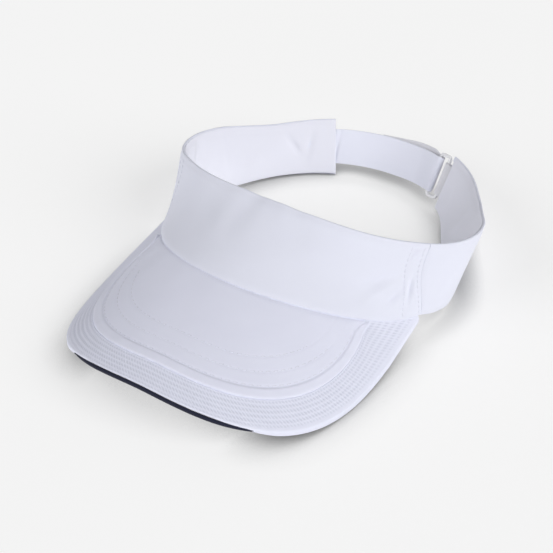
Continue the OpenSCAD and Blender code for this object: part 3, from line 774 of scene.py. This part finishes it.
def mesh_holes(s, inset):
    """1 in the slanted slits of the mesh and 0 on its yarns."""
    pitch_s, pitch_i = 1.95, 2.6
    slit_l, slit_w = 1.45, 0.33
    lean = -36
    row = np.round(inset / pitch_i)
    column = np.round(s / pitch_s + 0.5 * row)
    best = 0
    for row_shift, column_shift in ((0, 0), (0, 1), (0, -1), (1, 0), (1, 1), (-1, 0), (-1, -1)):
        line = row + row_shift
        along, beside = turned(s - (column + column_shift - 0.5 * line) * pitch_s,
                               inset - line * pitch_i, lean)
        best = np.maximum(best, np.exp(-((along / slit_l) ** 2 + (beside / slit_w) ** 2) ** 1.5))
    return best


def lip(a):
    """1 where the white cloth wraps down over the dark edge, and 0 where that edge shows."""
    return ramp(np.abs(a - 2.5), 8, 23)


def build_mesh_border():
    a, s = bill_angles(SEAM_A - 1.2, 0.33, 8)
    a, s = a[:, None], s[:, None]
    half = SHELL_T / 2
    outer = half + SHOW_FROM * (1 - lip(a))
    low = 2 * half + 0.15 + WRAP_DOWN * lip(a)
    down = spaced(0, 1, 0.17, 0.15)[None, :]
    turn = np.array([30, 60, 90])[None, :]
    across = spaced(0, 1, 0.019, 0, 0.022)[None, 1:]
    under = RIDGE_INSET + 3.5 * ramp(np.abs(a), 45, 51)
    to = np.maximum(np.minimum(under, bill_width(a) + SEAM_UNDER), outer + half + 0.3)
    inset = np.concatenate([outer + 0 * down, outer + half * (1 - cosd(turn)),
                            outer + half + (to - outer - half) * across], 1)
    depth = np.concatenate([low + (2 * half - low) * down, half * (2 - sind(turn)) + 0 * a,
                            half + 0 * across + 0 * a], 1)
    # The holes are sunk into the mesh and also get painted shade through its material.
    holes = mesh_holes(s, inset) * ramp(inset, 1.8, 3.4) * ramp(to - inset, 0.4, 1.2)
    piece = cloth("bill_mesh_cloth", bill_point(a, inset, depth), SHELL_T, MESH,
                  over=("bill_mesh_border",), top=-0.28 * holes + 0.05, pit_shade=holes)


def build_bill_edge():
    a, _ = bill_angles(BILL_END_A, 0.8, 1)
    a = a[:, None]
    outer = EDGE_TUCK * lip(a)
    inset = outer + (EDGE_W - outer) * spaced(0, 1, 0.1, 0.42, 0.42)[None, :]
    edge_t = UNDER_DEPTH + UNDER_T + 0.6 - SHELL_T - EDGE_TRIM * lip(a)
    mid = bill_point(a, inset, SHELL_T + edge_t / 2)
    edge = cloth("bill_edge_piping", mid, edge_t, NAVY, over=("bill_edge_binding",), radius=0.8)


def build_bill_under():
    a, s = bill_angles(BILL_END_A, 1.6, 20)
    a, s = a[:, None], s[:, None]
    start = EDGE_W + PLY_GAP
    rows = spaced(0, 1, 0.03, 0.004, 0.004)[None, :]
    inset = start + (bill_width(a) - BILL_GAP - start) * rows
    mid = bill_point(a, inset, UNDER_DEPTH + UNDER_T / 2)
    sag = 0.25 * (1 - bump(inset - start, 3)) * (1 - bump(bill_width(a) - inset, 3))
    under = cloth("bill_under_cloth", mid, UNDER_T, NAVY, over=("bill_under_panel",),
                  under=sag + quilt(s, inset) * 0.5)


def finish_board():
    """The board keeps its CAD mesh and only gets its material."""
    NODES["bill_board"].data.materials.clear()
    NODES["bill_board"].data.materials.append(BOARD)


def build_bill_stitches():
    panel_run = bill_line(PANEL_END_A, PANEL_RUN_INSET, 4001)[1][-1]
    for name, (inset, end_a) in ROWS.items():
        fine, run = bill_line(end_a, inset, 4001)
        offset = (panel_run - run[-1]) / 2
        count = int(run[-1] / ROW_PITCH)
        first = (math.ceil(offset / ROW_PITCH) * ROW_PITCH) - offset
        start = first + ROW_PITCH * np.arange(count - 1)
        points = []
        for s in (start, start + ROW_PITCH * STITCH_SHARE):
            a = np.interp(s, run, fine)
            points.append(bill_point(a, inset, -panel_relief(a, s + offset, inset) - 0.05))
        p = points[0]
        ups = unit(vec(2 * BILL_CROWN * p[:, 0], np.full(len(p), -BILL_SLOPE), 1.0))
        stitches(name + "_thread", points[0], points[1], ups, (name,))


# ---- Closure ----


def arc(cx, cy, r, low, high, steps):
    turn = np.linspace(low, high, steps + 1)
    return np.stack([cx + r * cosd(turn), cy + r * sind(turn)], -1)


def eased(s0, s1, d0, d1, steps):
    """A run between two depths that leaves and arrives level."""
    t = np.linspace(0, 1, steps + 1)
    return np.stack([s0 + (s1 - s0) * t, d0 + (d1 - d0) * (1 - np.cos(np.pi * t)) / 2], -1)


def level(s0, s1, depth):
    count = max(2, int(abs(s1 - s0) / 0.8))
    return np.stack([np.linspace(s0, s1, count + 1), np.full(count + 1, depth)], -1)


def joined(*runs):
    """Runs of path points end to end, without the doubled points between them."""
    return np.concatenate([runs[0]] + [r[1:] for r in runs[1:]])


def closed_in(path, radius):
    """Adds points near both ends of a path, so that its cut ends can be rounded."""
    run = run_of(path)
    extra = radius * (1 - cosd(np.array([30, 60])))
    inner = run[(run > radius * 1.05) & (run < run[-1] - radius * 1.05)]
    where = np.concatenate([[0], extra, [radius], inner, [run[-1] - radius],
                            run[-1] - extra[::-1], [run[-1]]])
    return np.stack([np.interp(where, run, path[:, 0]), np.interp(where, run, path[:, 1])], -1)


def ribbon(name, path, width, thick, material, rise=0.0, relief=None, **more):
    """A strip of cloth along a path of (distance, depth) points. rise may vary along it."""
    path = closed_in(path, thick / 2)
    up = spaced(-width / 2, width / 2, 0.8, thick / 2, thick / 2)[None, :]
    s, depth = path[:, :1], path[:, 1:]
    if relief is not None:
        depth = depth - relief(s, up)
    mid = strap_point(s, (rise(s) if callable(rise) else rise) + up, depth)
    return cloth(name, mid, thick, material, **more)


PRESSED_S = 82.6


def selvedge(s, up):
    """A lazy wave along the strap and a pressed fold close to where it leaves the panel."""
    wave = 0.06 * np.sin(s / 6.0) * np.cos(np.pi * up / STRAP_W)
    return wave - 0.8 * bump(s - PRESSED_S, 1.5) + 0.4 * bump(s - PRESSED_S + 2.8, 0.9)


def build_strap():
    calm = RING_GAP + 14
    inner = RING_DEPTH + FOLD_R
    path = joined(level(ANCHOR_S, calm, STRAP_DEPTH),
                  eased(calm, RING_GAP, STRAP_DEPTH, inner, 16),
                  arc(RING_GAP, RING_DEPTH, FOLD_R, 90, 186, 12))
    strap = ribbon("back_strap_cloth", path, STRAP_W, STRAP_T, SHELL, over=("back_strap",),
                   relief=selvedge)


def tail_rise(s):
    """The tail lies a little askew, highest beside the ring."""
    raised = ramp(s, RING_GAP, RING_GAP + 8) * (1 - ramp(s, RING_GAP + 14, RING_GAP + TAIL_L))
    return TAIL_RISE + 2.4 * raised


def build_tail():
    root_s = RING_GAP + 0.6
    settled_s = root_s + 8.3
    outer = RING_DEPTH - FOLD_R
    path = joined(arc(RING_GAP, RING_DEPTH, FOLD_R, 187, 270, 12),
                  eased(RING_GAP, settled_s, outer, TAIL_DEPTH, 14),
                  level(settled_s, root_s + TAIL_L, TAIL_DEPTH))
    tail = ribbon("strap_tail_cloth", path, STRAP_W - 1, STRAP_T, WEBBING, rise=tail_rise,
                  body=None, over=("strap_tail",))
    start = strap_point(RING_GAP - 0.5, TAIL_RISE, outer) * MM
    end = strap_point(settled_s + 0.2, TAIL_RISE, TAIL_DEPTH) * MM
    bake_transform(tail)


def seeded_spots(count, low, high, width, seed):
    """Places spread over a tape without lining up, the same on each run."""
    rng = np.random.default_rng(seed)
    s = low + (high - low) * (np.arange(count) + rng.random(count)) / count
    return s, (rng.random(count) - 0.5) * width, rng


def arches(name, s, up, ds, du, foot, high, radius, material, body, share=1.0):
    """Small arches of fibre, from -(ds, du) to +(ds, du) about each place on a tape."""
    rings, sides = 6, 4
    t = np.linspace(0, share, rings)[None, :]
    path_s = s[:, None] - np.reshape(ds, (-1, 1)) * np.cos(np.pi * t)
    path_up = up[:, None] - np.reshape(du, (-1, 1)) * np.cos(np.pi * t)
    centre = strap_point(path_s, path_up, foot + high * np.sin(np.pi * t))
    run = unit(np.gradient(centre, axis=1))
    # A direction across the arch, nudged so that it never vanishes.
    side = unit(np.cross(run, centre[:, -1:] - centre[:, :1] + 0.001))
    side = np.where(np.isfinite(side), side, 0.0)
    side = unit(side + np.cross(run, np.array([0.01, 0.02, 1.0])) * 0.05)
    other = np.cross(run, side)
    turn = np.arange(sides) * 2 * np.pi / sides
    verts = centre[:, :, None] + radius * (side[:, :, None] * np.cos(turn)[:, None]
                                           + other[:, :, None] * np.sin(turn)[:, None])
    index = np.arange(rings * sides).reshape(rings, sides)
    loop = np.pad(index, ((0, 0), (0, 1)), mode="wrap")
    one = np.concatenate([grid_faces(loop), index[:1], index[-1:, ::-1]])
    faces = (one[None] + np.arange(len(s))[:, None, None] * index.size).reshape(-1, 4)
    uvs = vec(path_s[:, :, None], turn * radius).reshape(-1, 2)
    return place(make_piece(name, verts.reshape(-1, 3), faces, uvs, material), body, ())


def build_tapes():
    start = RING_GAP + 13
    loop_mid = STRAP_DEPTH - STRAP_T / 2 - PLY_GAP - LOOP_T * 0.3
    base = ribbon("loop_tape_cloth", level(start + 2, start + 48, loop_mid), TAPE_W,
                  LOOP_T * 0.6, PILE, over=("loop_tape",))
    s, up, rng = seeded_spots(1500, start + 3, start + 47, TAPE_W - 1.6, seed=5)
    turn = rng.random(len(s)) * np.pi
    half = 0.45 + 0.25 * rng.random(len(s))
    foot = loop_mid - LOOP_T * 0.3
    ds, du = np.cos(turn) * half, np.sin(turn) * half
    loops = arches("loop_tape_pile", s, up, ds, du, foot + 0.05, -0.42, 0.06, PILE, "visor")
    hook_mid = TAIL_DEPTH + STRAP_T / 2 + PLY_GAP + HOOK_T * 0.25
    base = ribbon("hook_tape_base", level(start, start + TAIL_L - 15, hook_mid), TAPE_W,
                  HOOK_T * 0.5, HOOKS, rise=TAIL_RISE, body="tail", over=("hook_tape",))
    pitch_s, pitch_up = 1.25, 1.1
    rows_s = np.arange(start + 1, start + TAIL_L - 16, pitch_s)
    rows_up = np.arange(-TAPE_W / 2 + 1, TAPE_W / 2 - 0.9, pitch_up)
    s, up = [x.ravel() for x in np.meshgrid(rows_s, rows_up, indexing="ij")]
    lean = np.where((np.round((up + TAPE_W / 2 - 1) / pitch_up) % 2) > 0, 1.0, -1.0)
    hooks = arches("hook_tape_hooks", s, up + TAIL_RISE, 0.26 * lean, 0 * up,
                   hook_mid + HOOK_T * 0.22, 0.5, 0.09, HOOKS, "tail", share=0.8)


def build_keeper():
    outer = -PLY_GAP - KEEPER_T / 2
    inner = LINING_DEPTH - PLY_GAP - KEEPER_T / 2
    r = BAR_R + 0.4 + KEEPER_T / 2
    outer_s, inner_s = -7, -5.5
    path = joined(level(-OUTER_LEG, outer_s, outer),
                  eased(outer_s, 0, outer, RING_DEPTH - r, 10),
                  arc(0, RING_DEPTH, r, -90, 90, 16),
                  eased(0, inner_s, RING_DEPTH + r, inner, 10),
                  level(inner_s, -INNER_LEG, inner))
    keeper = ribbon("ring_keeper_cloth", path, KEEPER_W, KEEPER_T, WEBBING,
                    over=("ring_keeper",))


def build_bar_rows(name, node, rows, width, depth):
    """Rows of short stitches across a strap."""
    count = 6
    up = (np.arange(count) / count - 0.5) * (width - 3) + 0.5
    starts, stops, ups = [], [], []
    for s in rows:
        starts.append(strap_point(s, up, depth))
        stops.append(strap_point(s, up + 2.0, depth))
        ups.append(-band_inward(np.full(count, KEEPER_A + s / BAND_RATE)))
    stitches(name, np.concatenate(starts), np.concatenate(stops), np.concatenate(ups), (node,))


def build_ring():
    """The plastic ring: a softly squared bar swept round a rectangle with round corners."""
    keeper = strap_point(0, 0, 0)
    a = np.float64(KEEPER_A)
    up = unit(rim_edge(a + 2) - bottom_edge(a + 2))
    ahead = (band_point(a + 5, STRAP_MID_H, 0) - band_point(a, STRAP_MID_H, 0))
    inward = unit(np.cross(up, ahead))
    along = np.cross(inward, up)
    rise = (strap_point(RING_GAP, 0, 0) - keeper) @ up
    centre = strap_point(0, 0, RING_DEPTH) + up * rise * 0.8
    half = (STRAP_W + 2.2) / 2 + BAR_R
    corner, section, squareness = 2.0, 1.08, 3.2
    arcs = []
    for cx, cz, turn in ((RING_GAP - corner, half - corner, 0), (corner, half - corner, 90),
                         (corner, -half + corner, 180),
                         (RING_GAP - corner, -half + corner, 270)):
        angles = turn + np.linspace(0, 90, 9)
        arcs.append(np.stack([cx + corner * cosd(angles), cz + corner * sind(angles),
                              cosd(angles), sind(angles)], -1))
    path = []
    for here, following in zip(arcs, arcs[1:] + arcs[:1]):
        straight = np.linspace(here[-1], following[0], 10)[1:-1]
        path.extend([here, straight])
    path = np.concatenate(path)
    turn = np.linspace(0, 360, 25)[:-1]
    squared = (np.abs(cosd(turn)) ** squareness
               + np.abs(sind(turn)) ** squareness) ** (-1 / squareness)
    out = section * squared * cosd(turn)
    deep = section * squared * sind(turn)
    x = path[:, :1] + path[:, 2:3] * out
    z = path[:, 1:2] + path[:, 3:4] * out
    verts = centre + x[..., None] * along + z[..., None] * up + deep[:, None] * inward
    index = np.arange(x.size).reshape(x.shape)
    faces = grid_faces(np.pad(index, ((0, 1), (0, 1)), mode="wrap"))
    uvs = vec(turn / 50, x).reshape(-1, 2)
    ring = place(make_piece("ring_buckle_moulding", verts.reshape(-1, 3), faces, uvs, RING),
                 "ring", ("ring_buckle",))


# ---- Stage ----


def build_stage():
    """A pale floor that gives off light, but less close to the object: painted shadow, laid over
    what the lamps cast.
    """
    size, rows = 9000.0, 21
    line = np.linspace(-size, size, rows)
    x, y = np.meshgrid(line, line, indexing="ij")
    verts = vec(x, y, 0 * x - 0.05).reshape(-1, 3)
    index = np.arange(x.size).reshape(x.shape)
    g = Graph("glowing_floor_painted_shadow")
    where = g.node("TexCoord").outputs["Object"]
    tone = g.noise(where, 3.0)
    g.put(g.shader.inputs["Base Color"], g.blend(tone, rgba(0.41, 0.41, 0.41),
                                                 rgba(0.43, 0.43, 0.43)))
    g.shader.inputs["Emission Color"].default_value = (1, 1, 1, 1)
    # Painted shadow: ambient occlusion at two reaches cuts the floor's glow where the object is
    # near.
    near_shadow_ao = g.node("AmbientOcclusion", {"Distance": 0.020}, samples=8).outputs["AO"]
    wide_shadow_ao = g.node("AmbientOcclusion", {"Distance": 0.045}, samples=8).outputs["AO"]
    lit = g.maths("MULTIPLY", g.spread(near_shadow_ao, 0.45, 0.95),
                  g.spread(wide_shadow_ao, 0.20, 0.42, 0.10, 1.0))
    g.put(g.shader.inputs["Emission Strength"], g.maths("MULTIPLY", lit, 0.60))
    g.shader.inputs["Roughness"].default_value = 0.9
    g.shader.inputs["Specular IOR Level"].default_value = 0.1
    floor = make_piece("floor", verts, grid_faces(index), verts[:, :2], g.material)


def aim(thing, target):
    way = Vector(target) - thing.location
    thing.rotation_euler = way.to_track_quat("-Z", "Y").to_euler()


def direction(azimuth, elevation):
    """The way to a light or camera. Azimuth is 0 at the front and 90 at the wearer's left."""
    turn, tilt = math.radians(azimuth), math.radians(elevation)
    return Vector((math.sin(turn) * math.cos(tilt), -math.cos(turn) * math.cos(tilt),
                   math.sin(tilt)))


def soft_sun(name, azimuth, elevation, strength):
    data = bpy.data.lights.new(name, "SUN")
    data.energy = strength
    data.angle = math.radians(42)
    lamp = bpy.data.objects.new(name, data)
    lamp.location = direction(azimuth, elevation)
    bpy.context.scene.collection.objects.link(lamp)
    aim(lamp, (0, 0, 0))


def build_light():
    world = bpy.data.worlds.new("studio")
    world.use_nodes = True
    back = world.node_tree.nodes["Background"]
    back.inputs["Color"].default_value = (1.0, 1.0, 1.0, 1)
    back.inputs["Strength"].default_value = 0.16
    bpy.context.scene.world = world
    soft_sun("key", azimuth=86, elevation=33, strength=2.03)
    soft_sun("fill", azimuth=-36, elevation=27, strength=1.40)
    bpy.context.scene.view_settings.view_transform = "Standard"


def build_camera():
    """Looks down from the front and the wearer's left."""
    azimuth, elevation, distance = 31.7, 37.9, 0.851
    back = direction(azimuth, elevation)
    right = direction(azimuth + 90, 0)
    up = back.cross(right)
    middle = Vector((0, OPENING_Y * MM, 0))
    shift_right, shift_up = -0.02174, -0.0100
    data = bpy.data.cameras.new("camera")
    data.lens = 90.56
    data.sensor_width = 36
    camera = bpy.data.objects.new("camera", data)
    camera.location = middle + back * distance
    aim(camera, middle + right * shift_right + up * shift_up)
    bpy.context.scene.collection.objects.link(camera)
    bpy.context.scene.camera = camera


build_camera()
build_light()
build_stage()
build_front_panel()
build_backing()
build_sweatband()
build_bill_seam_tape()
build_sweatband_stitches()
for side, name in ((1, "left"), (-1, "right")):
    build_side(side, name)
    build_seam_stitches(side, name)
build_bill_panel()
build_mesh_border()
build_bill_edge()
build_bill_under()
finish_board()
build_bill_stitches()
build_strap()
build_tail()
build_tapes()
build_keeper()
build_bar_rows("strap_anchor_thread", "strap_anchor_stitches", (94.5, 98.5), STRAP_W, -0.1)
build_bar_rows("keeper_thread", "keeper_stitches", (-10, -43), KEEPER_W, -0.2 - KEEPER_T)
build_ring()
